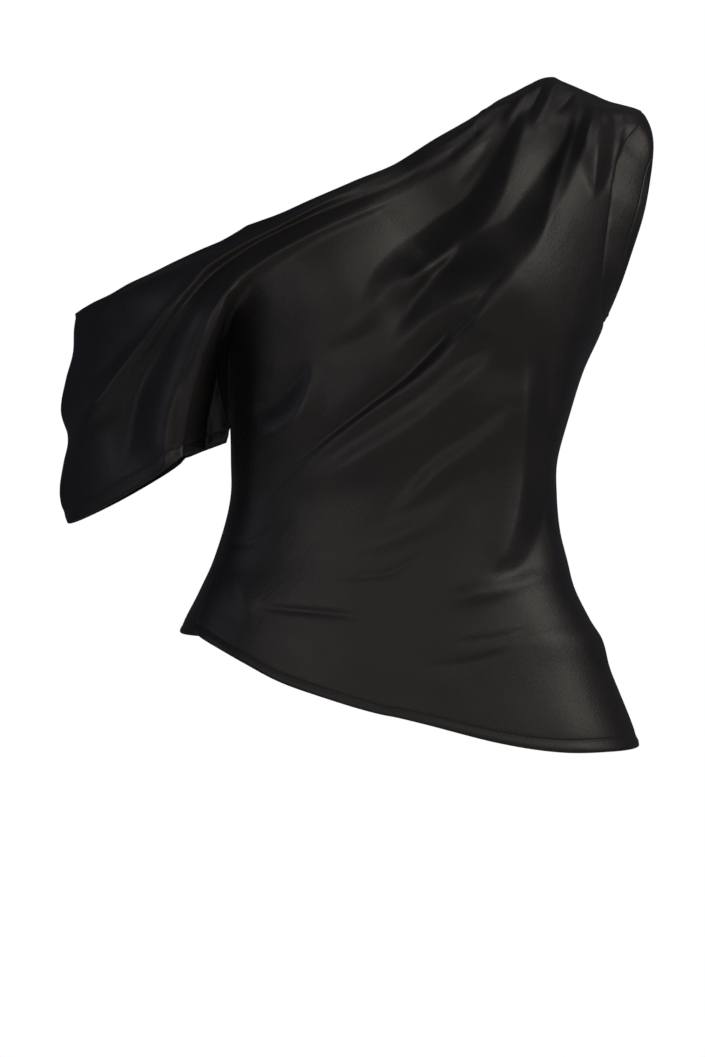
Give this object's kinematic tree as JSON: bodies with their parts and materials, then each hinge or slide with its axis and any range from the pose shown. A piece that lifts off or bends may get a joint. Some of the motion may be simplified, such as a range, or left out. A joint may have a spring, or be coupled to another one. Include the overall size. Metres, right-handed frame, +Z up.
{
  "type": "asymmetric top",
  "caption": "Satin top, gathered on one shoulder with a cap sleeve; its neckline falls across to a draped sleeve, with a slanting curved hem, in its hollow worn form.",
  "frame": {"origin": "under the middle of the gathered shoulder's seam, where the wearer's shoulder holds the cloth", "axes": "+Z up, -Y out of the garment's front, +X towards the cap sleeve, which is on the right of someone looking at the front"},
  "size_m": [0.4971, 0.2461, 0.562],
  "materials": {
    "satin": "near-black satin with a soft, warm sheen"
  },
  "bodies": {
    "root": {"front": "satin", "back": "satin", "draped_sleeve": "satin", "cap_sleeve": "satin"}
  },
  "joints": []
}
